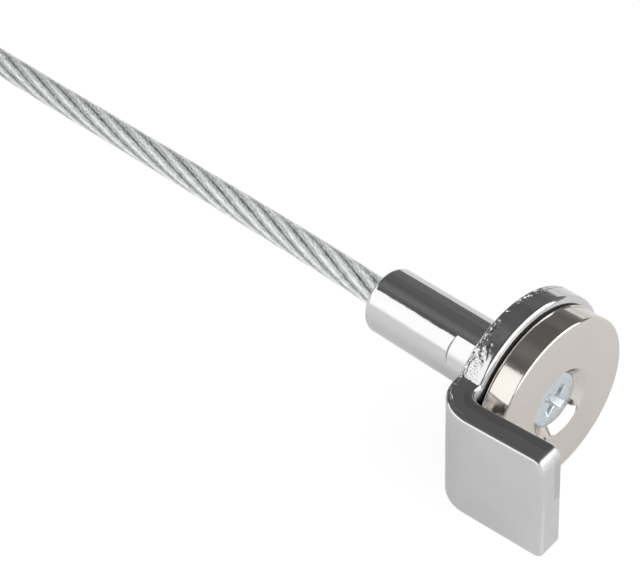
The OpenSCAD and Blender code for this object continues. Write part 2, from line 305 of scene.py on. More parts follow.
class Nodes:
    """Builds the nodes of a material or a world, one line each."""

    def __init__(self, owner):
        owner.use_nodes = True
        self.owner = owner
        self.tree = owner.node_tree
        self.shader = self.tree.nodes.get("Principled BSDF")

    def fill(self, node, inputs):
        """Fills a node's inputs with values or links."""
        for key, value in inputs.items():
            if isinstance(value, bpy.types.NodeSocket):
                self.tree.links.new(value, node.inputs[key])
            else:
                node.inputs[key].default_value = value

    def add(self, kind, inputs=(), **settings):
        """Adds a node with these settings and inputs."""
        node = self.tree.nodes.new(kind)
        for key, value in settings.items():
            setattr(node, key, value)
        self.fill(node, dict(inputs))
        return node

    def set(self, **values):
        """Fills the shader's inputs with values or links."""
        self.fill(self.shader, {key.replace("_", " "): value for key, value in values.items()})

    def show(self, kind, inputs):
        """Puts another shader in the place of the one that a new material has."""
        self.tree.nodes.remove(self.shader)
        shader = self.add(kind, inputs)
        self.tree.links.new(shader.outputs[0], self.tree.nodes["Material Output"].inputs["Surface"])
        return self.owner

    def place(self):
        """The place on the piece."""
        return self.add("ShaderNodeTexCoord").outputs["Object"]

    def place_along(self, axis):
        """The place on the piece along one axis."""
        return self.add("ShaderNodeSeparateXYZ", {0: self.place()}).outputs[axis]

    def noise(self, per_metre, detail=3, stretch=(1, 1, 1)):
        """Noise with this many cells in a metre, stretched along the axes."""
        mapping = self.add("ShaderNodeMapping", {"Vector": self.place(), "Scale": stretch})
        inputs = {"Vector": mapping.outputs[0], "Scale": per_metre, "Detail": detail}
        return self.add("ShaderNodeTexNoise", inputs).outputs["Fac"]

    def attribute(self, name):
        """A value that the mesh carries at its vertices."""
        return self.add("ShaderNodeAttribute", attribute_name=name).outputs["Fac"]

    def calculate(self, operation, first, second=0.5):
        """The result of a calculation with one or two values."""
        return self.add("ShaderNodeMath", {0: first, 1: second}, operation=operation).outputs[0]

    def spread(self, value, low, high, out_low, out_high, **settings):
        """Maps a range of a value to another range."""
        inputs = {"Value": value, "From Min": low, "From Max": high, "To Min": out_low, "To Max": out_high}
        return self.add("ShaderNodeMapRange", inputs, **settings).outputs[0]

    def between(self, value, low, high):
        """Maps the usual values of a noise to a range."""
        return self.spread(value, 0.3, 0.7, low, high)

    def blend(self, share, first, second):
        """Mixes two colours."""
        return self.add("ShaderNodeMix", {"Factor": share, 6: first, 7: second}, data_type="RGBA").outputs[2]

    def tones(self, share, tone, dark, light):
        """Mixes a darker and a lighter tone of a colour."""
        return self.blend(share, shade(tone, dark), shade(tone, light))

    def bumps(self, *layers):
        """Raises the surface by height maps over each other, each with its depth and strength."""
        normal = None
        for height, distance, strength in layers:
            inputs = {"Height": height, "Distance": distance, "Strength": strength}
            if normal is not None:
                inputs["Normal"] = normal
            normal = self.add("ShaderNodeBump", inputs).outputs[0]
        self.set(Normal=normal)


def material_nodes(name):
    """The nodes of a new material."""
    return Nodes(bpy.data.materials.new(name))


def shade(tone, share):
    """A colour made darker or lighter by a factor."""
    return (tone[0] * share, tone[1] * share, tone[2] * share, 1)


def barrel_chrome():
    """Bright chrome with faint waves under the plate and fine marks along the barrel."""
    nodes = material_nodes("barrel_chrome")
    cloud = nodes.noise(420, 3, (0.35, 1, 1))
    fine = nodes.noise(5000, 2, (0.15, 1, 1))
    nodes.set(Base_Color=nodes.tones(cloud, finishes().chrome, 0.95, 1.05), Metallic=1,
              Roughness=nodes.between(fine, 0.06, 0.13))
    nodes.bumps((cloud, 0.00005, 0.7), (fine, 0.000003, 0.5))
    return nodes.owner


def bracket_chrome():
    """Chrome over stamped steel: cloudy on the faces, torn and glittering where it was sheared."""
    nodes = material_nodes("bracket_chrome")
    tone = finishes().bracket
    cloud = nodes.noise(300, 3)
    fine = nodes.noise(4500, 3)
    grain = nodes.noise(4200, 2, (0.35, 1, 1))
    torn = nodes.attribute("torn")
    dull = nodes.attribute("dull")
    ridge = nodes.calculate("ABSOLUTE", nodes.calculate("SUBTRACT", grain, 0.5))
    # Nearly black lines in the torn patch: painted shade in its cracks.
    painted_crack_shade = nodes.calculate("MULTIPLY", nodes.spread(ridge, 0.006, 0.024, 1, 0), torn)
    shine = nodes.blend(nodes.attribute("rolled"), nodes.tones(cloud, tone, 0.94, 1.07), shade(tone, 0.84))
    shine = nodes.blend(painted_crack_shade, shine, shade(tone, 0.2))
    nodes.set(Base_Color=nodes.blend(dull, shine, shade(tone, 1.3)),
              Metallic=nodes.spread(dull, 0, 1, 1, 0.35),
              Roughness=nodes.calculate("MAXIMUM", dull, nodes.between(fine, 0.09, 0.17)))
    nodes.bumps((cloud, 0.00004, 0.6),
                (nodes.calculate("MULTIPLY", nodes.noise(1300, 2), torn), 0.00007, 0.8),
                (nodes.calculate("MULTIPLY", grain, torn), 0.00004, 0.9),
                (nodes.calculate("MULTIPLY", nodes.attribute("chipped"), -1), 0.00016, 1),
                (fine, 0.000003, 0.5))
    return nodes.owner


def nickel_plate():
    """Warm nickel, a little cloudy, chipped to the dark magnet by the countersink."""
    nodes = material_nodes("nickel_plate")
    chipped = nodes.attribute("chipped")
    cloud = nodes.noise(260, 4)
    fine = nodes.noise(5000, 3)
    plate = nodes.tones(cloud, finishes().nickel, 0.95, 1.04)
    rough = nodes.calculate("MAXIMUM", nodes.spread(chipped, 0, 1, 0, 0.5), nodes.between(fine, 0.10, 0.17))
    nodes.set(Base_Color=nodes.blend(chipped, plate, tuple(finishes().chipped)),
              Metallic=nodes.spread(chipped, 0, 1, 1, 0.2), Roughness=rough)
    nodes.bumps((cloud, 0.00002, 0.5), (fine, 0.000003, 0.5))
    return nodes.owner


def zinc_plate():
    """Bluish zinc with patchy passivation."""
    nodes = material_nodes("zinc_plate")
    patches = nodes.noise(1400, 4)
    nodes.set(Base_Color=nodes.tones(patches, finishes().zinc, 0.86, 1.1), Metallic=1,
              Roughness=nodes.between(patches, 0.24, 0.38))
    nodes.bumps((nodes.noise(9000, 3), 0.000012, 0.7))
    return nodes.owner


def rope_wire():
    """Galvanised wire, darker in the grooves between strands and between wires: painted shade, with some
    grime in the strands' grooves.
    """
    nodes = material_nodes("rope_wire")
    tone = finishes().wire
    dull = nodes.noise(2600, 3, (0.3, 1, 1))
    metal = nodes.tones(nodes.spread(dull, 0.35, 0.65, 0, 1), tone, 0.88, 1.14)
    # Painted shade, with some grime, down in the grooves between strands.
    depth = nodes.spread(nodes.attribute("crown"), 0.05, 0.45, 0, 1)
    # Painted shade in the valleys between the wires.
    between = nodes.blend(nodes.attribute("wire"), shade(tone, 0.58), metal)
    nodes.set(Base_Color=nodes.blend(depth, tuple(finishes().groove_grime_and_shade), between), Metallic=0.92,
              Roughness=nodes.between(dull, 0.22, 0.34))
    nodes.bumps((nodes.noise(7000, 2), 0.000006, 0.6))
    return nodes.owner


def clear_cover():
    """Clear, faintly milky plastic with a skin texture from the extruder."""
    nodes = material_nodes("clear_cover")
    nodes.set(Base_Color=tuple(finishes().cover), Transmission_Weight=0.88, IOR=1.46,
              Roughness=nodes.between(nodes.noise(2500, 2), 0.05, 0.11))
    nodes.bumps((nodes.noise(700, 2, (0.3, 1, 1)), 0.00001, 0.5))
    return nodes.owner


def grained(name, tone, grain, shades, rough, bump=None, **more):
    """A finish that one noise makes paler, rougher and higher in places."""
    nodes = material_nodes(name)
    marks = nodes.noise(*grain)
    nodes.set(Base_Color=nodes.tones(marks, tone, *shades), Roughness=nodes.between(marks, *rough), **more)
    if bump:
        nodes.bumps((marks, *bump))
    return nodes.owner


def washer_rubber():
    """Black rubber with a fine moulded grain."""
    return grained("washer_rubber", finishes().rubber, (4000, 4), (0.7, 1.5), (0.55, 0.75), (0.00001, 0.6))


def turned_brass():
    """Brass with turning marks round its axis."""
    return grained("turned_brass", finishes().brass, (4000, 2, (1, 0.05, 0.05)), (0.9, 1.05), (0.2, 0.32),
                   (0.000004, 0.7), Metallic=1)


def natural_nylon():
    """Milky nylon, slightly see-through."""
    return grained("natural_nylon", finishes().nylon, (1500, 3), (0.94, 1.04), (0.4, 0.5),
                   Subsurface_Weight=0.2, Subsurface_Scale=0.0005)


def pressed_aluminium():
    """Aluminium as the press leaves it: satin, with faint drag marks."""
    return grained("pressed_aluminium", finishes().aluminium, (2200, 3, (0.3, 0.3, 2)), (0.88, 1.06),
                   (0.28, 0.42), (0.000015, 0.6), Metallic=1)


# ---- The cable ----

# Route behind the barrel's mouth: back, sideways, and height as a share of the
# drop from the axis to the surface.
RUN = [(-1, 0, 1), (-8, 0, 1.02), (-16, 0, 1.03), (-25, 0, 1.03), (-34, 0, 1.03),
       (-44, 0, 1.02), (-54, 0, 1.01), (-63, 0, 1), (-72, 0, 1), (-80, 0, 1),
       (-86, 0, 0.97), (-92, 0, 0.87), (-98, 0, 0.69), (-104, 0, 0.46),
       (-110, 0, 0.24), (-116, 0, 0.08), (-122, 0, 0), (-128, 0, 0)]
COIL_LEAD = -128
CABLE_D = 3.5
COIL_MID_R = 21
LAYER_TURNS = 3
LAYERS = 4
TURN_PITCH = 4
LAYER_PITCH = 3.95
LOOP_RINGS = 72
LYING_Z = CABLE_D / 2 - MAGNET_R - FLANGE_RIM
COIL_OUT_R = COIL_MID_R + TURN_PITCH * LAYER_TURNS / 2
COIL_X = BARREL_MOUTH + COIL_LEAD - CABLE_D

# Route over the coil from its end, with height as a share of the rise to the ferrule.
OVER = [(0, 0, 0), (-1.5, 0, 0), (-5.3, -0.7, 0.12), (-9.2, -2.7, 0.35),
        (-12.3, -5.8, 0.62), (-14.3, -9.7, 0.82), (-15, -14, 0.94), (-14.3, -18.3, 0.99)]
FERRULE_AT = Vector((-6.7, -26.4))
EYE_TURN = -math.atan2(4, 3)
# Half of the eye from the ferrule's middle, with height as a share of its lift.
HALF_EYE = [(9, 2.3, 0.9), (11.7, 3.2, 0.65), (14.5, 4.9, 0.35), (18, 7.4, 0.1),
            (21.6, 9.8, 0), (25.6, 11.6, 0), (30, 11.9, 0), (34.1, 10.6, 0),
            (37.6, 7.9, 0), (39.8, 4.1, 0)]
EYE_TIP = (40.5, 0, 0)
LEG_END = 6.5
LEG_Y = 1.95
FERRULE_LEN = 10
FERRULE_R = 2.9
FERRULE_BORE_R = 1.8
FERRULE_LIFT = 1.0
TAIL_END = 4
TOP_Z = LYING_Z + LAYER_PITCH * (LAYERS - 1)
COIL_END = Vector((COIL_X - CABLE_D, 0, TOP_Z))
FERRULE_Z = TOP_Z + LAYER_PITCH + FERRULE_LIFT


def coil_point(turns):
    """A point of the coil, which spirals in and out and climbs as each spiral reverses."""
    layer = math.floor(turns / LAYER_TURNS)
    share = turns / LAYER_TURNS - layer
    inward = share if layer % 2 == 0 else 1 - share
    radius = COIL_OUT_R - TURN_PITCH * LAYER_TURNS * inward
    # Each layer is climbed to in the half turn about its start.
    climbed = 0
    for k in range(1, LAYERS):
        climbed += min(max((turns - k * LAYER_TURNS) * 2 + 0.5, 0), 1)
    angle = math.radians(90 + 360 * turns)
    return Vector((COIL_X + radius * math.cos(angle), radius * math.sin(angle) - COIL_OUT_R,
                   LYING_Z + LAYER_PITCH * climbed))


def eye_point(x, y, share):
    """A point of the eye, from the ferrule's middle."""
    cos_turn = math.cos(EYE_TURN)
    sin_turn = math.sin(EYE_TURN)
    return Vector((COIL_END.x + x * cos_turn - y * sin_turn + FERRULE_AT.x,
                   x * sin_turn + y * cos_turn + FERRULE_AT.y,
                   FERRULE_Z - (1 - share) * FERRULE_LIFT))


def smooth_line(points, step):
    """A smooth curve through points, with a new point about every step millimetres."""
    line = []
    last = len(points) - 1
    for i in range(last):
        a = points[max(i - 1, 0)]
        b = points[i]
        c = points[i + 1]
        d = points[min(i + 2, last)]
        parts = max(1, round((c - b).length / step))
        for k in range(parts):
            t = k / parts
            line.append(0.5 * (2 * b + (c - a) * t + (2 * a - 5 * b + 4 * c - d) * t ** 2
                               + (3 * b - a - 3 * c + d) * t ** 3))
    return line + [points[last]]


def cable_route():
    """The cable's middle line from its stop in the barrel to its tail in the ferrule."""
    run = [Vector((STOP_X, 0, 0))]
    run += [Vector((BARREL_MOUTH + x, y, (1 - z) * LYING_Z)) for x, y, z in RUN]
    coil = [coil_point(i / LOOP_RINGS) for i in range(LAYERS * LAYER_TURNS * LOOP_RINGS + 1)]
    eye = [COIL_END + Vector((x, y, z * (FERRULE_Z - TOP_Z))) for x, y, z in OVER]
    eye += [eye_point(x, -LEG_Y, 1) for x in (-LEG_END, 0, LEG_END)]
    eye += [eye_point(x, -y, z) for x, y, z in HALF_EYE]
    eye += [eye_point(*EYE_TIP)]
    eye += [eye_point(x, y, z) for x, y, z in reversed(HALF_EYE)]
    eye += [eye_point(x, LEG_Y, 1) for x in (LEG_END, 0, -TAIL_END)]
    return smooth_line(run, 0.8), coil, smooth_line(eye, 1.2)


def travelling_frames(line):
    """Two directions square to the line at each point, that turn as little as they can."""
    frames = []
    across = Vector((0, 1, 0))
    last = len(line) - 1
    for i in range(last + 1):
        along = (line[min(i + 1, last)] - line[max(i - 1, 0)]).normalized()
        across = (across - along * across.dot(along)).normalized()
        frames.append((across.copy(), along.cross(across)))
    return frames


def close_ends(bm, rings):
    """Closes both ends of a skinned tube."""
    bm.faces.new(rings[0])
    bm.faces.new(rings[-1])


def cover_mesh(line, radius, sides):
    """The cover's outer skin."""
    bm = bmesh.new()
    rings = []
    for point, (across, up) in zip(line, travelling_frames(line)):
        rings.append([bm.verts.new(point + radius * (cos * across + sin * up)) for cos, sin in circle(sides)])
    join_rings(bm, rings)
    close_ends(bm, rings)
    return bm


WIRES = 6
WIRE_LAY = 11
WIRE_DEPTH = 0.22
LAY_START = -0.06
# Shares of the rope's radius where a strand's crown starts, and that it spans; further in lie the grooves,
# which get painted shade and some grime.
CROWN_FROM = 0.55
CROWN_SPAN = 0.45
# Where the valleys between wires, which get painted shade, turn to the wires' crests.
WIRE_EDGE = (0.1, 0.7)
RUN_SIDES = 42
REST_SIDES = 8
COVER_SIDES = 24
# Two points of the route that lie closer than this are one.
SAME_POINT = 0.05
LOOSENS = (12, 55)


def strand_ring(bm, layers, point, across, up, angle, travelled, strand_r, centre_r, sides):
    """One ring of a strand: round, or with its outer wires where sides allow."""
    out = math.cos(angle) * across + math.sin(angle) * up
    side = math.cos(angle) * up - math.sin(angle) * across
    crown, wire = layers
    ring = []
    for k in range(sides):
        turn = FULL_TURN * k / sides
        wires = abs(math.cos(WIRES / 2 * (turn + FULL_TURN * travelled / WIRE_LAY)))
        r = strand_r * (1 - WIRE_DEPTH * (1 - wires)) if sides > 2 * WIRES else strand_r
        offset = r * (math.cos(turn) * out + math.sin(turn) * side)
        vertex = bm.verts.new(point + centre_r * out + offset)
        reach = (centre_r * out + offset).length / (centre_r + strand_r)
        # How far out a vertex lies; the material paints shade and grime further in.
        vertex[crown] = (reach - CROWN_FROM) / CROWN_SPAN
        # 1 on a wire's crest and 0 in the valley between wires, where the material paints shade.
        vertex[wire] = smooth_step(wires, *WIRE_EDGE)
        ring.append(vertex)
    return ring


def lay_at(travelled):
    """Length of one turn of a strand, which is shorter by the barrel."""
    size = sizes()
    share = smooth_step(travelled, *LOOSENS)
    return (size.end_lay + (size.rope_lay - size.end_lay) * share) / MM


def strands_mesh(run, rest, rope_r, count):
    """The rope's strands, with their wires along the run and plain further on."""
    bm = bmesh.new()
    layers = [bm.verts.layers.float.new(name) for name in ("crown", "wire")]
    strand_r = rope_r * math.sin(math.pi / count) / (1 + math.sin(math.pi / count))
    centre_r = rope_r - strand_r
    line = run + rest
    frames = travelling_frames(line)
    for k in range(count):
        travelled = 0
        angle = FULL_TURN * k / count + LAY_START
        for stretch, sides in ((range(len(run)), RUN_SIDES), (range(len(run) - 1, len(line)), REST_SIDES)):
            rings = []
            for i in stretch:
                if rings:
                    step = (line[i] - line[i - 1]).length
                    travelled += step
                    angle += FULL_TURN * step / lay_at(travelled)
                rings.append(strand_ring(bm, layers, line[i], *frames[i], angle, travelled,
                                         strand_r, centre_r, sides))
            join_rings(bm, rings)
            close_ends(bm, rings)
    return bm


# How far the waist between the ferrule's barrels is drawn in, the waist and the inset of a
# pressed band, and how far back and in its rounded ends lie.
WAIST = 0.45
PRESSED = (0.7, 0.22)
FERRULE_ENDS = [(0, 0.35), (0.12, 0.12), (0.4, 0)]


def ferrule_outline(squeeze, inset, steps=10):
    """The ferrule's section: two barrels side by side, drawn together where it is pressed."""
    r = FERRULE_R - inset
    points = []
    for k in range(2 * steps + 1):
        angle = math.radians(-90 + 180 * k / (2 * steps))
        points.append((LEG_Y + r * math.cos(angle), r * math.sin(angle)))
    for k in range(1, steps):
        x = LEG_Y * (1 - 2 * k / steps)
        waist = squeeze * (1 + math.cos(math.pi * x / LEG_Y)) / 2
        points.append((x, r - waist))
    half = len(points)
    return points + [(-x, -y) for x, y in points[:half]]


def ferrule_mesh():
    """A double-barrel ferrule pressed in two bands, with both bores open."""
    bm = bmesh.new()
    half = FERRULE_LEN / 2
    stations = []
    for back, inset in FERRULE_ENDS:
        stations += [(-half + back, WAIST, inset), (half - back, WAIST, inset)]
    for band in range(2):
        start = -half + 0.9 + band * (half - 0.35)
        end = start + half - 1.45
        stations += [(start, WAIST, 0), (start + 0.25, *PRESSED), (end - 0.25, *PRESSED), (end, WAIST, 0)]
    stations.sort()
    rings = []
    for along, squeeze, inset in stations:
        rings.append([bm.verts.new((along, y, z)) for y, z in ferrule_outline(squeeze, inset)])
    join_rings(bm, rings)
    bores = []
    for side in (-1, 1):
        ends = []
        for along in (-half, half):
            ring = arc((side * LEG_Y, 0), FERRULE_BORE_R, 0, 360, 40)[:-1]
            ends.append([bm.verts.new((along, y, z)) for y, z in ring])
        join_rings(bm, ends)
        bores.append(ends)
    cap(bm, [rings[0], bores[0][0], bores[1][0]])
    cap(bm, [rings[-1], bores[0][1], bores[1][1]])
    place = Matrix.Translation((COIL_END.x + FERRULE_AT.x, FERRULE_AT.y, FERRULE_Z))
    bm.transform(place @ Matrix.Rotation(EYE_TURN, 4, "Z"))
    return bm


class CABLE_LOCK_OT_ferrule(bpy.types.Operator):
    """Makes the ferrule that closes the cable's eye"""
    bl_idname = "cable_lock.ferrule"
    bl_label = "Eye ferrule"

    def execute(self, context):
        make_piece("ferrule", ferrule_mesh(), "cable", pressed_aluminium(), ["eye_ferrule"])
        return {"FINISHED"}


class CABLE_LOCK_OT_cable(bpy.types.Operator):
    """Makes the wire rope and its clear cover along the whole route"""
    bl_idname = "cable_lock.cable"
    bl_label = "Cable"

    def execute(self, context):
        size = sizes()
        run, coil, eye = cable_route()
        route = run + coil + eye
        route = [p for i, p in enumerate(route) if i == 0 or (p - route[i - 1]).length > SAME_POINT]
        skin = cover_mesh(route, size.cover_d / MM / 2, COVER_SIDES)
        cover = make_piece("clear_cover", skin, "cable", clear_cover(),
                           ["cable_run", "cable_coil", "cable_eye"])
        laid = strands_mesh(run, route[len(run):], size.rope_d / MM / 2, size.strands)
        strands = make_piece("rope_strands", laid, "cable", rope_wire(), sharp=80)
        return {"FINISHED"}


# ---- The barrel ----

RUN_OUT = 0.1
RUN_OUT_STEPS = 10
# How much further back the flats reach in their middle, as the cutter's round edge leaves them.
FLAT_BULGE = 0.25
BARREL_SIDES = 480
# How far back and in the points of the front edge's softened bevel lie.
FRONT_EDGE = [(0.3, 0), (0.25, 0.02), (0.04, 0.23), (0, 0.3)]


def barrel_mesh():
    """The barrel: a rounded mouth, two slightly crowned wrench flats, and its stepped bore."""
    half_across = sizes().flat_across / MM / 2
    edge_angle = math.acos(half_across / BARREL_R)
    mouth_r = CABLE_D / 2 + MOUTH_GAP
    cavity_end = ROPE_TIP + END_GAP
    flat_start = BARREL_FRONT - FLAT_LEN
    round_at = (BARREL_MOUTH + MOUTH_ROUND, BARREL_R - MOUTH_ROUND)
    inner = soften([(BARREL_FRONT, SCREW_R + THREAD_GAP), (cavity_end, SCREW_R + THREAD_GAP),
                    (cavity_end, CAVITY_R), (BUSH_X, CAVITY_R), (BUSH_X, mouth_r),
                    (BARREL_MOUTH, mouth_r)], SOFT_CUT)
    outer = [Vector((BARREL_MOUTH, mouth_r + 0.3))]
    outer += arc(round_at, MOUTH_ROUND, 180, 90, 10)
    run_out = FLAT_BULGE + RUN_OUT
    outer += [Vector((flat_start + run_out * k / RUN_OUT_STEPS, BARREL_R)) for k in range(RUN_OUT_STEPS + 1)]
    outer += [Vector((BARREL_FRONT - back, BARREL_R - inset)) for back, inset in FRONT_EDGE]

    def crowned(angle):
        """Radius of the crowned flat, whose edges lie where a plain flat's would."""
        reach = BARREL_R * math.cos(edge_angle)
        drop = BARREL_R * math.sin(edge_angle)
        middle = reach - math.sqrt(FLAT_CROWN_R ** 2 - drop ** 2)
        return middle * math.cos(angle) + math.sqrt(FLAT_CROWN_R ** 2 - (middle * math.sin(angle)) ** 2)

    def with_flats(x, r, angle):
        if x < flat_start or r < half_across:
            return r
        off = (angle - FLAT_ANGLE + math.pi / 2) % math.pi - math.pi / 2
        if abs(off) > edge_angle:
            return r
        start = flat_start + FLAT_BULGE * (off / edge_angle) ** 2
        risen = max(0, 1 - (x - start) / RUN_OUT) * (BARREL_R - crowned(0))
        return min(r, crowned(off) + risen / math.cos(off))

    return turned(inner + outer, BARREL_SIDES, with_flats)


class CABLE_LOCK_OT_barrel(bpy.types.Operator):
    """Makes the barrel that turns on the cable's end"""
    bl_idname = "cable_lock.barrel"
    bl_label = "Barrel"

    def execute(self, context):
        barrel = make_piece("barrel", barrel_mesh(), "head",
                            barrel_chrome(), ["swivel_barrel"], sharp=20)
        even_out_normals(barrel)
        return {"FINISHED"}


# ---- The hook bracket ----

FLANGE_R = MAGNET_R + FLANGE_RIM
BEND_START = MAGNET_R + TAB_GAP - BEND_R
# Places along the flat plate between which its edges change from the flange's to the tab's.
ONTO_TAB = (FLANGE_R * 0.72, FLANGE_R * 0.95)
ROUND_BEND = (BEND_START + 1.5, BEND_START + 5)
OFF_BEND = (BEND_START + 4, BEND_START + 5.5)
# Inset and depth of the loops round the flange's bevelled front edge, in millimetres.
DISC_EDGE = [(0.85, 0), (0.66, 0), (0.55, 0.015), (0.31, 0.11), (0.25, 0.15), (0.1, 0.29), (0.05, 0.36),
             (0.02, 0.43), (0, 0.55)]
BACK_EDGE = 0.3
TAB_INNER_EDGE = 0.25
TAB_OUTER_EDGE = 0.4
TIP_EDGE = 0.35
TIP_SLANT = (0.3, -0.1)
# Where the rear edge is chipped and torn: degrees at which each starts and ends, smoothly.
CHIPPED_ARC = ((22, 34), (122, 136))
TORN_ARC = ((33, 35), (52, 72))
CHIP_NOISE = (-0.27, -0.15)
CHIP_HALF_W = (0.08, 0.2)
CHIP_STEP = 0.05
EDGE_STEPS = 8
WALL_STEPS = 20
BEND_STEPS = 24
# Depth of the dull part of the bend, how dull each place is, and how near an edge is worn.
DULL_DEEP = 1.6
DULL_BEND = 0.5
THIN_PLATE = 0.12
WORN_CORNER = 0.45
WORN_EDGE = 0.4
EDGE_WEAR = (0.4, 0.15)
# Loops of the edge that lie further in than this are on a face.
WALL_INSET = 0.2
HOLE_SIDES = 64
RIM_STEP = 0.16
TAB_STEP = 0.3


def bend_length():
    """Length of the bend along the middle of the plate."""
    return (math.pi / 2 + sizes().tab_lean) * (BEND_R + sizes().plate_t / MM / 2)


def tab_top():
    """Height of the tab's top edge above the axis."""
    return sizes().tab_w / MM / 2 - TAB_DROP


def bracket_outline():
    """The plate's outline laid flat: towards the tab, and up."""
    top = tab_top()
    low = -sizes().tab_w / MM / 2 - TAB_DROP
    end = BEND_START + bend_length() + TAB_LEN
    start_angle = math.degrees(math.asin(top / FLANGE_R))
    end_angle = 360 + math.degrees(math.asin(low / FLANGE_R))
    steps = round(math.radians(end_angle - start_angle) * FLANGE_R / RIM_STEP)
    points = arc((0, 0), FLANGE_R, start_angle, end_angle, steps)
    points += arc((end + TIP_SLANT[0] - TAB_LOW_R, low + TAB_LOW_R), TAB_LOW_R, -90, 0, 12)
    points += arc((end + TIP_SLANT[1] - TAB_TOP_R, top - TAB_TOP_R), TAB_TOP_R, 0, 90, 12)
    return points


def fill_in(points, step):
    """A closed outline with extra points wherever two are further apart than a step."""
    filled = []
    for i, point in enumerate(points):
        following = points[(i + 1) % len(points)]
        parts = max(1, math.ceil((following - point).length / step))
        filled += [point.lerp(following, k / parts) for k in range(parts)]
    return filled


def inward(points, i):
    """Direction into an anticlockwise outline at one of its points."""
    before = (points[i] - points[i - 1]).normalized()
    after = (points[(i + 1) % len(points)] - points[i]).normalized()
    along = (before + after).normalized()
    return Vector((-along.y, along.x)) / max(0.7, along.dot(after))


def edge_profile(on_tab, back, thick):
    """Inset and depth of each loop round the plate's edge, from the front face to the back."""
    loops = []
    for k, (inset, depth) in enumerate(DISC_EDGE):
        angle = math.pi / 2 * k / (len(DISC_EDGE) - 1)
        tab_inset = TAB_INNER_EDGE * (1 - math.sin(angle))
        tab_depth = TAB_INNER_EDGE * (1 - math.cos(angle))
        loops.append((inset + (tab_inset - inset) * on_tab, depth + (tab_depth - depth) * on_tab))
    front = loops[-1][1]
    for k in range(1, WALL_STEPS):
        loops.append((0, front + (thick - front - back) * k / WALL_STEPS))
    for k in range(EDGE_STEPS + 1):
        angle = math.pi / 2 * k / EDGE_STEPS
        loops.append((back * (1 - math.cos(angle)), thick - back * (1 - math.sin(angle))))
    return loops + [(back + 0.25, thick)]


def window(value, rise, fall):
    """1 between a smooth rise and a smooth fall, each given by its two ends, and 0 outside."""
    return smooth_step(value, *rise) * (1 - smooth_step(value, *fall))


def near(value, end, far, close):
    """0 when further than far short of an end, and 1 when closer than close."""
    return smooth_step(value, end - far, end - close)


def wander(point, seed, scale):
    """Slow noise along the plate's edge, another for each seed."""
    return noise.noise(Vector((point.x, point.y, seed)) * scale)


def rim_angle(point):
    """A point's angle about the flange's middle, in degrees."""
    return math.degrees(math.atan2(point.y, point.x))


def chip(point, depth, thick):
    """How far the burr on the plate's rear edge broke off there, from 0 to 1."""
    bend = window(point.x, (FLANGE_R * 0.85, FLANGE_R), OFF_BEND)
    bend *= 0.5 * (point.y > 0)
    size = smooth_step(wander(point, 2.5, 1.1) + 0.5 * wander(point, 7, 2.6), *CHIP_NOISE)
    size *= max(window(rim_angle(point), *CHIPPED_ARC), bend)
    middle = thick - 0.5 - 0.25 * wander(point, 5, 1.3)
    return size * (1 - smooth_step(abs(depth - middle), *CHIP_HALF_W))


def torn_share(point, depth):
    """How torn the plate's edge is there, from 0 to 1: most in a patch beside the bend."""
    on_disc = smooth_step(FLANGE_R + 0.2 - point.length, 0, 0.1)
    edge = 0.95 + 0.35 * wander(point, 4, 1.1)
    return window(rim_angle(point), *TORN_ARC) * on_disc * smooth_step(depth, edge, edge + 0.25)


def rolled_share(point, depth):
    """1 along the tab's top edge beside its inner face, where the plate is drawn darker."""
    on_top = smooth_step(point.x, FLANGE_R * 0.9, FLANGE_R) * (point.y > 0)
    edge = 1.15 + 0.22 * noise.noise(Vector((point.x * 0.45, 3, 8)))
    return on_top * (1 - smooth_step(depth, edge, edge + 0.12))


def shear_mark(point, depth, torn):
    """How deep the punch and the hammer marked the plate's edge there, in millimetres."""
    rough = noise.fractal(Vector((point.x, point.y, depth)) * 2.6, 0.8, 2.2, 3)
    return sizes().rim_marks / MM * torn * (0.6 + 1.3 * rough)


def dulled_share(place, tip, thick):
    """How dull the plate is there: in the bend, behind the magnet, and where the tab's tip is worn."""
    toward, up, depth = place
    top = tab_top()
    bend_end = BEND_START + bend_length()
    in_bend = window(toward, (BEND_START - 0.9, BEND_START + 0.2), (bend_end - 1.2, bend_end))
    in_bend *= near(up, top, DULL_DEEP, DULL_DEEP / 4) * (1 - smooth_step(depth, 0.1, 0.3))
    behind_magnet = depth < 0.01 and toward < BEND_START
    corner = near(toward, tip, 1.6, 0.6) * near(up, top, 1.6, 0.4)
    edge = near(toward, tip, *EDGE_WEAR) * near(depth, thick, *EDGE_WEAR)
    return max(DULL_BEND * in_bend, THIN_PLATE * behind_magnet, WORN_CORNER * corner, WORN_EDGE * edge)


def bend_place(toward, up, depth):
    """Where a point of the flat plate lies once the tab is bent."""
    corner = Vector((PLATE_FRONT + BEND_R, -BEND_START))
    whole = math.pi / 2 + sizes().tab_lean
    past = toward - BEND_START
    if past <= 0:
        return Vector((PLATE_FRONT - depth, -toward, up))
    turn = min(past / bend_length(), 1) * whole
    straight = max(past - bend_length(), 0)
    place = corner - (BEND_R + depth) * Vector((math.cos(turn), math.sin(turn)))
    place += straight * Vector((math.sin(turn), -math.cos(turn)))
    return Vector((place.x, place.y, up))


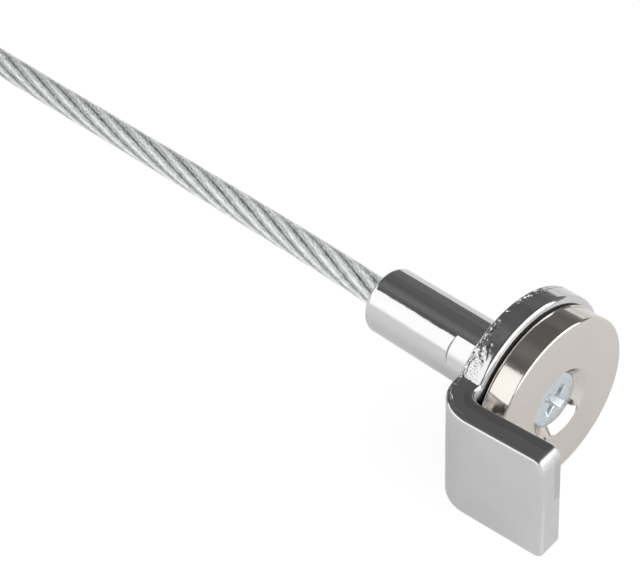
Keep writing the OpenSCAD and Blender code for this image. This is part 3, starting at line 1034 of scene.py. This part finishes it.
def bracket_mesh():
    """The plate drawn flat with rounded and sheared edges, then bent to the hook."""
    thick = sizes().plate_t / MM
    outline = fill_in(bracket_outline(), TAB_STEP)
    outline_end = max(point.x for point in outline)
    bm = bmesh.new()
    names = ("torn", "rolled", "chipped", "dull")
    torn, rolled, chipped, dull = [bm.verts.layers.float.new(name) for name in names]
    columns = []
    for i, point in enumerate(outline):
        into = inward(outline, i)
        past_bend = smooth_step(point.x, *ROUND_BEND)
        on_tab = smooth_step(point.x, *ONTO_TAB)
        at_tip = near(point.x, outline_end, 0.9, 0.1)
        back = BACK_EDGE + (TAB_OUTER_EDGE - BACK_EDGE) * on_tab + (TIP_EDGE - TAB_OUTER_EDGE) * at_tip
        column = []
        for inset, depth in edge_profile(past_bend, back, thick):
            on_wall = inset < WALL_INSET
            share = on_wall * torn_share(point, depth)
            broken = on_wall * chip(point, depth, thick)
            place = point + into * (inset + shear_mark(point, depth, share) + CHIP_STEP * broken)
            vertex = bm.verts.new((place.x, place.y, depth))
            vertex[torn] = share
            vertex[chipped] = broken
            vertex[rolled] = on_wall * rolled_share(point, depth)
            column.append(vertex)
        columns.append(column)
    loops = [list(loop) for loop in zip(*columns)]
    join_rings(bm, loops)
    hole = arc((0, 0), SCREW_HOLE_R, 0, 360, HOLE_SIDES)[:-1]
    holes = [[bm.verts.new((x, y, depth)) for x, y in hole] for depth in (0, thick)]
    join_rings(bm, holes)
    cap(bm, [loops[0], holes[0]])
    cap(bm, [loops[-1], holes[1]])
    cuts = [(Vector((1, 0, 0)), BEND_START + bend_length() * k / BEND_STEPS) for k in range(BEND_STEPS + 1)]
    cuts += [(Vector((0, 1, 0)), tab_top() - DULL_DEEP / k) for k in (1, 2, 4)]
    for normal, at in cuts:
        everything = bm.verts[:] + bm.edges[:] + bm.faces[:]
        bmesh.ops.bisect_plane(bm, geom=everything, dist=1e-5, plane_co=at * normal, plane_no=normal)
    for vertex in bm.verts:
        vertex[dull] = dulled_share(vertex.co, outline_end, thick)
        vertex.co = bend_place(*vertex.co)
    return bm


class CABLE_LOCK_OT_bracket(bpy.types.Operator):
    """Makes the bent plate with its round flange and hook tab"""
    bl_idname = "cable_lock.bracket"
    bl_label = "Hook bracket"

    def execute(self, context):
        bracket = make_piece("bracket", bracket_mesh(), "head",
                             bracket_chrome(), ["hook_bracket"], sharp=50)
        even_out_normals(bracket)
        return {"FINISHED"}


# ---- The magnet, its washer and its screw ----

# Where the nickel has chipped: angle and half its width in degrees, radius and half its height.
CHIPS = [(50, 8, 3.62, 0.3), (190, 6, 3.85, 0.3), (322, 7, 3.5, 0.3), (238, 4, 4.15, 0.2)]
CHIP_DEEP = 0.07
CONE_STEPS = 14
CORNER_CUT = 0.09
CORNER_STEPS = 4
# How the plating's bead falls back to the side of the magnet, in sizes of the bead.
BEAD_FRONT = [(0.3, -0.1), (1.2, -1), (1.5, -1.05)]
MAGNET_SIDES = 240


def chipped_share(r, angle):
    """How far the nickel has chipped away there, from 0 to 1."""
    most = 0
    for turn, half_w, middle, half_h in CHIPS:
        off = (math.degrees(angle) - turn + 180) % 360 - 180
        away = math.hypot(off / half_w, (r - middle) / half_h)
        away += 0.6 * noise.noise(Vector((off * 0.35, r * 5, turn)))
        most = max(most, 1 - smooth_step(away, 0.55, 1.05))
    return most


def magnet_mesh():
    """The ring magnet: bevelled in front, beaded by its plating behind, chipped round the screw."""
    wide = sizes().countersink_d / MM / 2
    bevel_r = MAGNET_R - MAGNET_BEVEL
    profile = [(MAGNET_BACK, SCREW_HOLE_R), (MAGNET_BACK, MAGNET_R), (-MAGNET_BEVEL, MAGNET_R),
               (0, bevel_r), (0, wide), (SCREW_HOLE_R - wide, SCREW_HOLE_R)]
    soft = soften(profile, CORNER_CUT, CORNER_STEPS)
    corners = [soft[k:k + CORNER_STEPS + 1] for k in range(0, len(soft), CORNER_STEPS + 1)]
    top = Vector((MAGNET_BACK + REAR_ROUND, MAGNET_R + BEAD_UP))
    rear = arc(top - Vector((0, REAR_ROUND)), REAR_ROUND, 180, 90, 8)
    rear += [top + BEAD * Vector(step) for step in BEAD_FRONT]
    bore, _, front, rim, mouth, throat = corners
    cone = [mouth[-1].lerp(throat[0], k / CONE_STEPS) for k in range(1, CONE_STEPS)]
    bm = turned(bore + rear + front + rim + mouth + cone + throat, MAGNET_SIDES)
    chipped = bm.verts.layers.float.new("chipped")
    for vertex in bm.verts:
        x, y, z = vertex.co
        r = math.hypot(y, z)
        if x > SCREW_HOLE_R - wide and SCREW_HOLE_R < r < wide + 0.3:
            vertex[chipped] = chipped_share(r, math.atan2(z, y))
            vertex.co.x -= CHIP_DEEP * vertex[chipped]
    return bm


class CABLE_LOCK_OT_magnet(bpy.types.Operator):
    """Makes the ring magnet"""
    bl_idname = "cable_lock.magnet"
    bl_label = "Ring magnet"

    def execute(self, context):
        magnet = make_piece("magnet", magnet_mesh(), "head",
                            nickel_plate(), ["ring_magnet"], sharp=60)
        even_out_normals(magnet)
        return {"FINISHED"}


class CABLE_LOCK_OT_washer(bpy.types.Operator):
    """Makes the rubber washer behind the magnet"""
    bl_idname = "cable_lock.washer"
    bl_label = "Rubber washer"

    def execute(self, context):
        profile = soften([(PLATE_FRONT, SCREW_HOLE_R), (PLATE_FRONT, WASHER_R), (MAGNET_BACK, WASHER_R),
                          (MAGNET_BACK, SCREW_HOLE_R)], SOFT_CUT)
        make_piece("washer", turned(profile, 128), "head", washer_rubber(), ["rubber_washer"])
        return {"FINISHED"}


def cross_outline(reach, half_w, fillet):
    """A cross with rounded inner corners and softened ends, turned by an eighth."""
    points = []
    for arm in range(4):
        end = [Vector((reach - 0.12, -half_w)), Vector((reach, -half_w + 0.12)),
               Vector((reach, half_w - 0.12)), Vector((reach - 0.12, half_w))]
        inner = arc((half_w + fillet, half_w + fillet), fillet, 270, 180, 4)
        turn = Matrix.Rotation(math.radians(45 + 90 * arm), 2)
        points += [turn @ p for p in end + inner]
    return points


# Depth and inset of the head's rounded rim, and depth, reach, half width and fillet of its recess.
HEAD_EDGE = [(0, 0.34), (0.02, 0.22), (0.06, 0.13), (0.11, 0.065), (0.16, 0.06)]
RECESS = [(0, 1.95, 0.52, 0.34), (0.08, 1.87, 0.46, 0.3), (0.6, 1.45, 0.38, 0.24),
          (0.9, 1.0, 0.32, 0.2), (1.05, 0.62, 0.26, 0.12)]


SCREW_SIDES = 64
# Depth of the thread in pitches, its rings to a pitch, the slope of its sides, the plain neck
# above it and the tapered tip below.
THREAD_DEEP = 0.55
THREAD_STEPS = 8
THREAD_SLOPE = 2.4
NECK = 0.5
TIP_TAPER = 0.5


def screw_mesh():
    """The countersunk screw: a cross recess in the head, a cone and a cut thread."""
    bm = bmesh.new()
    pitch = sizes().thread_pitch / MM
    cone_end = SCREW_TOP - HEAD_RIM - (HEAD_R - SCREW_R)
    stations = [(SCREW_TOP - down, HEAD_R - inset) for down, inset in HEAD_EDGE]
    stations += [(cone_end, SCREW_R), (cone_end - NECK, SCREW_R)]
    rings = []
    for x, r in stations:
        rings.append([bm.verts.new((x, r * cos, r * sin)) for cos, sin in circle(SCREW_SIDES)])
    while x > SCREW_TIP + pitch / THREAD_STEPS:
        x -= pitch / THREAD_STEPS
        runout = min(1, (cone_end - NECK - x) / pitch)
        taper = max(0, TIP_TAPER - (x - SCREW_TIP))
        ring = []
        for k, (cos, sin) in enumerate(circle(SCREW_SIDES)):
            phase = (x / pitch + k / SCREW_SIDES) % 1
            crest = min(1, THREAD_SLOPE * abs(phase - 0.5))
            r = SCREW_R - taper * 0.8 - THREAD_DEEP * pitch * runout * crest
            ring.append(bm.verts.new((x, r * cos, r * sin)))
        rings.append(ring)
    rings.append([bm.verts.new((SCREW_TIP, v.co.y * 0.96, v.co.z * 0.96)) for v in rings[-1]])
    join_rings(bm, rings)
    bm.faces.new(rings[-1])
    recess = []
    for down, reach, half_w, fillet in RECESS:
        outline = cross_outline(reach, half_w, fillet)
        recess.append([bm.verts.new((SCREW_TOP - down, y, z)) for y, z in outline])
    join_rings(bm, recess)
    cap(bm, [rings[0], recess[0]])
    cap(bm, [recess[-1]])
    return bm


class CABLE_LOCK_OT_screw(bpy.types.Operator):
    """Makes the countersunk screw with its cross recess"""
    bl_idname = "cable_lock.screw"
    bl_label = "Magnet screw"

    def execute(self, context):
        make_piece("screw", screw_mesh(), "head", zinc_plate(), ["magnet_screw"], sharp=25)
        return {"FINISHED"}


# ---- What the barrel hides ----

class CABLE_LOCK_OT_inner_pieces(bpy.types.Operator):
    """Finishes the bush, slip washer, stop sleeve and rope end inside the barrel"""
    bl_idname = "cable_lock.inner_pieces"
    bl_label = "Inner pieces"

    def execute(self, context):
        made = bpy.data.materials
        inner = {"retaining_bush": turned_brass(), "slip_washer": natural_nylon(),
                 "stop_sleeve": made.get("pressed_aluminium") or pressed_aluminium(),
                 "rope_end": made.get("rope_wire") or rope_wire()}
        for node, material in inner.items():
            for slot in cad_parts[node].material_slots:
                slot.material = material
        return {"FINISHED"}


# ---- The studio ----

CAMERA_FROM_HEAD = Vector((70.13, -95.06, 112.66)) * MM
CAMERA_LOOK = Vector((-0.5746, 0.5126, -0.638))
CAMERA_UP = Vector((-0.4359, 0.4681, 0.7687))
CAMERA_LENS = 87.2
CAMERA_CLIP = 0.005
WHITE = (1, 1, 1)
# Level of the light from all round, and distance of the lights from the head in metres.
WORLD_LIGHT = 0.48
LIGHT_DISTANCE = 0.8
# Azimuth, elevation, width and height of the lights, in degrees.
SIDE_CARD = (240, 24, 100, 45)
FRONT_SOFTBOX = (14, 38, 90, 44)
CARD_FADE = 0.16
DOME_R = 3
DOME_LOW = 8
DOME_STEPS = 24
STAGE_SIDES = 96
# How much paler the ceiling is at its lower edge, the height over which that fades, and its clouds:
# cells in a metre, and the range of their tones.
EDGE_TONE = 1.5
EDGE_FADE = 0.7
CLOUD_SCALE = 0.6
CLOUD_TONES = (0.55, 1.5)
FLOOR_R = 3.2
FLOOR_Z = -0.00002
# Glow and matt colour of the floor as metal and glass show it, and as the camera sees it.
GLOSSY_FLOOR = (0.08, 0.88)
CAMERA_FLOOR = (0.86, 0.2)
PLAIN_FLOOR = 0.8


def direction(azimuth, elevation):
    """A direction from two angles in degrees, counted from +X towards +Y, and up."""
    a = math.radians(azimuth)
    e = math.radians(elevation)
    return Vector((math.cos(e) * math.cos(a), math.cos(e) * math.sin(a), math.sin(e)))


def hang(name, data, azimuth, elevation):
    """Hangs a light about the head, facing it and not seen by the camera."""
    light = add_object(name, data)
    away = direction(azimuth, elevation)
    light.location = HEAD + away * LIGHT_DISTANCE
    light.rotation_euler = away.to_track_quat("Z", "Y").to_euler()
    light.visible_camera = False
    return light


def half_span(degrees):
    """Half the size of a light that spans this angle, seen from the head."""
    return LIGHT_DISTANCE * math.tan(math.radians(degrees / 2))


def softbox(name, azimuth, elevation, wide, high, radiance):
    """A rectangular lamp that spans these angles."""
    lamp = bpy.data.lights.new(name, "AREA")
    lamp.shape = "RECTANGLE"
    lamp.size = 2 * half_span(wide)
    lamp.size_y = 2 * half_span(high)
    lamp.energy = radiance * math.pi * lamp.size * lamp.size_y
    hang(name, lamp, azimuth, elevation)


def light_card(name, azimuth, elevation, wide, high, radiance):
    """A glowing card that fades to the white of the studio along its lower edge."""
    half_w = half_span(wide)
    half_h = half_span(high)
    corners = [(-half_w, -half_h, 0), (half_w, -half_h, 0), (half_w, half_h, 0), (-half_w, half_h, 0)]
    mesh = bpy.data.meshes.new(name)
    mesh.from_pydata(corners, [], [(0, 1, 2, 3)])
    nodes = material_nodes(name)
    faded = nodes.spread(nodes.place_along("Y"), -half_h, -half_h + LIGHT_DISTANCE * CARD_FADE, 1, radiance,
                         interpolation_type="SMOOTHSTEP")
    mesh.materials.append(nodes.show("ShaderNodeEmission", {"Strength": faded}))
    card = hang(name, mesh, azimuth, elevation)
    card.visible_shadow = False


def make_camera():
    """The camera, square to its look and up directions."""
    camera = add_object("camera", bpy.data.cameras.new("camera"))
    back = -CAMERA_LOOK.normalized()
    right = CAMERA_UP.cross(back).normalized()
    turn = Matrix((right, back.cross(right), back)).transposed()
    camera.matrix_world = Matrix.Translation(HEAD + CAMERA_FROM_HEAD) @ turn.to_4x4()
    camera.data.sensor_fit = "HORIZONTAL"
    camera.data.lens = CAMERA_LENS
    camera.data.clip_start = CAMERA_CLIP
    bpy.context.scene.camera = camera


def seen_rays(nodes):
    """1 for rays from the camera and for those that metal and glass send on."""
    path = nodes.add("ShaderNodeLightPath")
    total = path.outputs["Is Camera Ray"]
    for name in ("Is Glossy Ray", "Is Transmission Ray"):
        total = nodes.calculate("MAXIMUM", total, path.outputs[name])
    return total


def floor_material():
    """White floor that keeps the object's shadow, which is deeper where metal shows it."""
    nodes = material_nodes("floor_white")

    def matt(level):
        return nodes.add("ShaderNodeBsdfDiffuse", {"Color": shade(WHITE, level)}).outputs[0]

    def glowing(glow, level):
        strength = nodes.add("ShaderNodeEmission", {"Strength": glow}).outputs[0]
        return nodes.add("ShaderNodeAddShader", {0: strength, 1: matt(level)}).outputs[0]

    path = nodes.add("ShaderNodeLightPath")
    seen = nodes.add("ShaderNodeMixShader", {0: path.outputs["Is Camera Ray"], 1: glowing(*GLOSSY_FLOOR),
                                             2: glowing(*CAMERA_FLOOR)})
    return nodes.show("ShaderNodeMixShader", {0: seen_rays(nodes), 1: matt(PLAIN_FLOOR), 2: seen.outputs[0]})


def white_world():
    """White where it is seen, and a plain level of light otherwise."""
    nodes = Nodes(bpy.data.worlds.new("studio"))
    level = nodes.spread(seen_rays(nodes), 0, 1, WORLD_LIGHT, 1)
    nodes.fill(nodes.tree.nodes["Background"], {"Strength": level, "Color": shade(WHITE, 1)})
    bpy.context.scene.world = nodes.owner


def ceiling_material(level):
    """A dark, cloudy ceiling that is a little paler near its lower edge."""
    nodes = material_nodes("dark_ceiling")
    low = DOME_R * math.sin(math.radians(DOME_LOW))
    faded = nodes.spread(nodes.place_along("Z"), low, low + EDGE_FADE, level * EDGE_TONE, level)
    clouds = nodes.spread(nodes.noise(CLOUD_SCALE, 2), 0.35, 0.65, *CLOUD_TONES)
    return nodes.show("ShaderNodeEmission", {"Strength": nodes.calculate("MULTIPLY", faded, clouds)})


def stage_disc(name, rings, material):
    """A surface of revolution about Z for the stage, from (radius, height) pairs."""
    bm = bmesh.new()
    skins = []
    for r, z in rings:
        skins.append([bm.verts.new((r * cos, r * sin, z)) for cos, sin in circle(STAGE_SIDES)])
    join_rings(bm, skins)
    bm.faces.new(skins[-1])
    mesh = mesh_from(name, bm)
    mesh.materials.append(material)
    surface = add_object(name, mesh)
    return surface


class CABLE_LOCK_OT_stage(bpy.types.Operator):
    """Makes the camera, the white floor, the softboxes and the dark ceiling"""
    bl_idname = "cable_lock.stage"
    bl_label = "Studio"

    def execute(self, context):
        light = context.scene.cable_lock_studio
        context.scene.view_settings.view_transform = "Standard"
        make_camera()
        white_world()
        stage_disc("floor", [(FLOOR_R, FLOOR_Z), (0.01, FLOOR_Z)], floor_material())
        rings = []
        for k in range(DOME_STEPS):
            up = math.radians(DOME_LOW + (90 - DOME_LOW) * k / DOME_STEPS)
            rings.append((DOME_R * math.cos(up), DOME_R * math.sin(up)))
        dome = stage_disc("ceiling", rings, ceiling_material(light.dark_level))
        for rays in ("camera", "diffuse", "shadow", "transmission"):
            setattr(dome, f"visible_{rays}", False)
        light_card("side_card", *SIDE_CARD, light.side_light)
        softbox("front_softbox", *FRONT_SOFTBOX, light.front_light)
        return {"FINISHED"}


# ---- The panel and the add-on ----

OPERATORS = [CABLE_LOCK_OT_stage, CABLE_LOCK_OT_ferrule, CABLE_LOCK_OT_cable, CABLE_LOCK_OT_barrel,
             CABLE_LOCK_OT_bracket, CABLE_LOCK_OT_magnet, CABLE_LOCK_OT_washer, CABLE_LOCK_OT_screw,
             CABLE_LOCK_OT_inner_pieces]
GROUPS = {"cable_lock_sizes": CableLockSizes, "cable_lock_finishes": CableLockFinishes,
          "cable_lock_studio": CableLockStudio}


class CABLE_LOCK_PT_panel(bpy.types.Panel):
    """Lists the lock's pieces and settings in the sidebar"""
    bl_idname = "CABLE_LOCK_PT_panel"
    bl_label = "Cable lock"
    bl_space_type = "VIEW_3D"
    bl_region_type = "UI"
    bl_category = "Cable lock"

    def draw(self, context):
        for operator in OPERATORS:
            self.layout.operator(operator.bl_idname)
        for name, group in GROUPS.items():
            box = self.layout.box()
            for key in group.__annotations__:
                box.prop(getattr(context.scene, name), key)


CLASSES = [*GROUPS.values(), *OPERATORS, CABLE_LOCK_PT_panel]


def register():
    for cls in CLASSES:
        bpy.utils.register_class(cls)
    for name, group in GROUPS.items():
        setattr(bpy.types.Scene, name, PointerProperty(type=group))


def unregister():
    for name in GROUPS:
        delattr(bpy.types.Scene, name)
    for cls in reversed(CLASSES):
        bpy.utils.unregister_class(cls)


def main():
    """Builds the whole lock."""
    register()
    bpy.ops.cable_lock.stage()
    bpy.ops.cable_lock.ferrule()
    bpy.ops.cable_lock.cable()
    bpy.ops.cable_lock.barrel()
    bpy.ops.cable_lock.bracket()
    bpy.ops.cable_lock.magnet()
    bpy.ops.cable_lock.washer()
    bpy.ops.cable_lock.screw()
    bpy.ops.cable_lock.inner_pieces()


if __name__ == "__main__":
    main()
